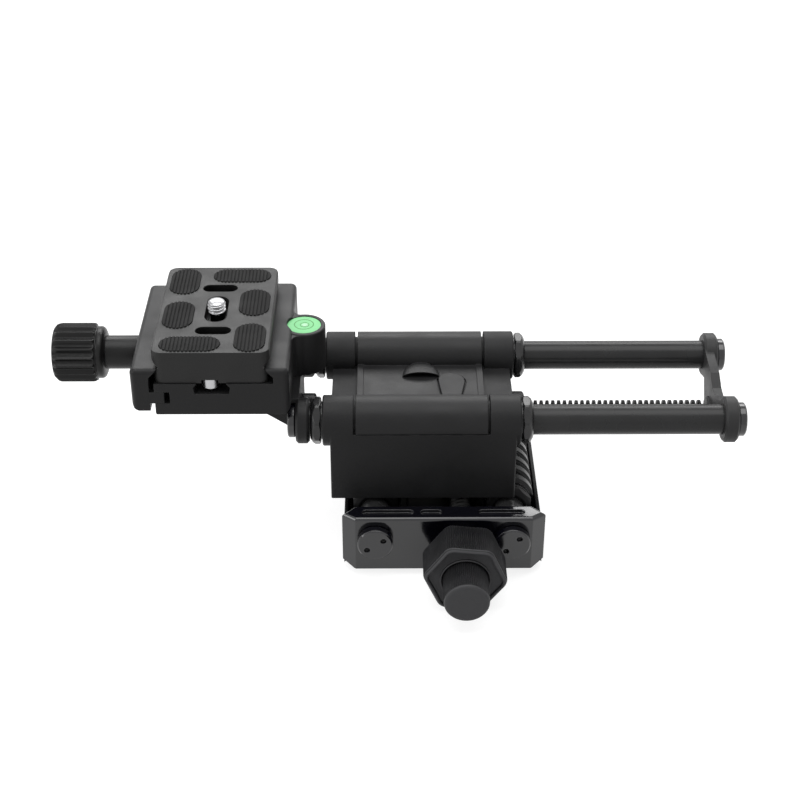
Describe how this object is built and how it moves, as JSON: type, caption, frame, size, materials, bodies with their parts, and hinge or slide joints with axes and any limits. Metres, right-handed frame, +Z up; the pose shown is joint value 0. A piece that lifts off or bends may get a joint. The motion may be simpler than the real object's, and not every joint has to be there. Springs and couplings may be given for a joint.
{
  "type": "macro focusing rail",
  "caption": "Two-way macro focusing rail: a carriage on paired tubes with knobs, rack and lead screw, and a quick release clamp with level and ribbed camera plate.",
  "frame": {"origin": "centre of the tripod socket, in the base plate's bottom face", "axes": "+X to the right along the upper rail, +Y back along the lower rail, +Z up; the tripod screw leaves along -Z"},
  "size_m": [0.24, 0.1591, 0.0843],
  "materials": {
    "satin_black": "satin black anodised",
    "gloss_black": "glossy black anodised",
    "tube_black": "glossy black anodised tube",
    "knob_plastic": "moulded matte black",
    "knob_metal": "satin black anodised",
    "steel": "plain turned steel",
    "brass": "machined",
    "liner_plastic": "bearing plastic",
    "pad_rubber": "ribbed rubber",
    "level_green": "clear bright green"
  },
  "bodies": {
    "base": {"front_end_plate": "gloss_black", "base_plate": "satin_black", "rear_bracket": "satin_black", "tripod_insert": "steel", "base_screws": "steel", "lower_tubes": "tube_black", "lower_front_caps": "gloss_black", "lower_rear_caps": "gloss_black", "screw_bush": "satin_black"},
    "lead_screw": {"lead_screw": "steel", "thrust_collar": "steel", "drive_knob": "knob_plastic"},
    "drive_lock": {"lock_knob": "knob_plastic"},
    "carriage": {"upper_saddle": "satin_black", "top_cover": "satin_black", "lower_saddle": "satin_black", "saddle_screws": "steel", "upper_nuts": "gloss_black", "lower_nuts": "gloss_black", "upper_liners": "liner_plastic", "lower_liners": "liner_plastic", "drive_nut": "brass", "nut_screws": "steel", "pinion_bushes": "brass"},
    "pinion": {"pinion_shaft": "steel", "pinion": "brass", "focus_knob": "knob_plastic"},
    "focus_lock": {"focus_lock_knob": "knob_plastic"},
    "upper_rail": {"upper_tubes": "tube_black", "toothed_rod": "tube_black", "end_bracket": "satin_black", "head_bracket": "satin_black", "upper_left_caps": "gloss_black", "upper_right_caps": "gloss_black", "head_screws": "steel", "clamp_body": "satin_black", "bubble_vial": "level_green"},
    "jaw": {"clamp_jaw": "satin_black", "guide_pins": "steel"},
    "clamp_knob": {"clamp_screw": "steel", "clamp_knob": "knob_metal"},
    "plate": {"quick_release_plate": "satin_black", "rubber_pads": "pad_rubber", "stop_screw": "steel"},
    "camera_screw": {"camera_screw": "steel"}
  },
  "joints": [
    {"name": "drive_knob_turn", "type": "hinge", "parent": "base", "child": "lead_screw", "pos_m": [0.0067, -0.074, 0.0108], "axis": [0, -1, 0], "range_deg": [-1260.1, 7020.1]},
    {"name": "carriage_slide", "type": "slide", "parent": "base", "child": "carriage", "axis": [0, 1, 0], "range_m": [-0.007, 0.039]},
    {"name": "drive_lock_turn", "type": "hinge", "parent": "lead_screw", "child": "drive_lock", "pos_m": [0.0067, -0.086, 0.0108], "axis": [0, -1, 0], "range_deg": [0, 270]},
    {"name": "focus_knob_turn", "type": "hinge", "parent": "carriage", "child": "pinion", "pos_m": [0.0035, 0.02, 0.02905], "axis": [0, 1, 0], "range_deg": [-898.1, 0.1]},
    {"name": "upper_slide", "type": "slide", "parent": "carriage", "child": "upper_rail", "axis": [1, 0, 0], "range_m": [-0.063, 0]},
    {"name": "focus_lock_turn", "type": "hinge", "parent": "pinion", "child": "focus_lock", "pos_m": [0.0035, 0.031, 0.02905], "axis": [0, 1, 0], "range_deg": [0, 270]},
    {"name": "jaw_slide", "type": "slide", "parent": "upper_rail", "child": "jaw", "axis": [-1, 0, 0], "range_m": [0, 0.003]},
    {"name": "clamp_knob_turn", "type": "hinge", "parent": "jaw", "child": "clamp_knob", "pos_m": [-0.13, -0.0164, 0.0609], "axis": [-1, 0, 0], "range_deg": [-0.1, 1080.1]},
    {"name": "plate_slide", "type": "slide", "parent": "upper_rail", "child": "plate", "axis": [0, 1, 0], "range_m": [-0.02, 0.02]},
    {"name": "camera_screw_turn", "type": "hinge", "parent": "plate", "child": "camera_screw", "pos_m": [-0.0782, -0.0164, 0.08], "axis": [0, 0, 1], "continuous": true}
  ],
  "couplings": [
    {"joint": "drive_knob_turn", "follows": "carriage_slide", "rad_per_m": 3141.6},
    {"joint": "focus_knob_turn", "follows": "upper_slide", "rad_per_m": 248.76},
    {"joint": "clamp_knob_turn", "follows": "jaw_slide", "rad_per_m": 6283.2}
  ]
}
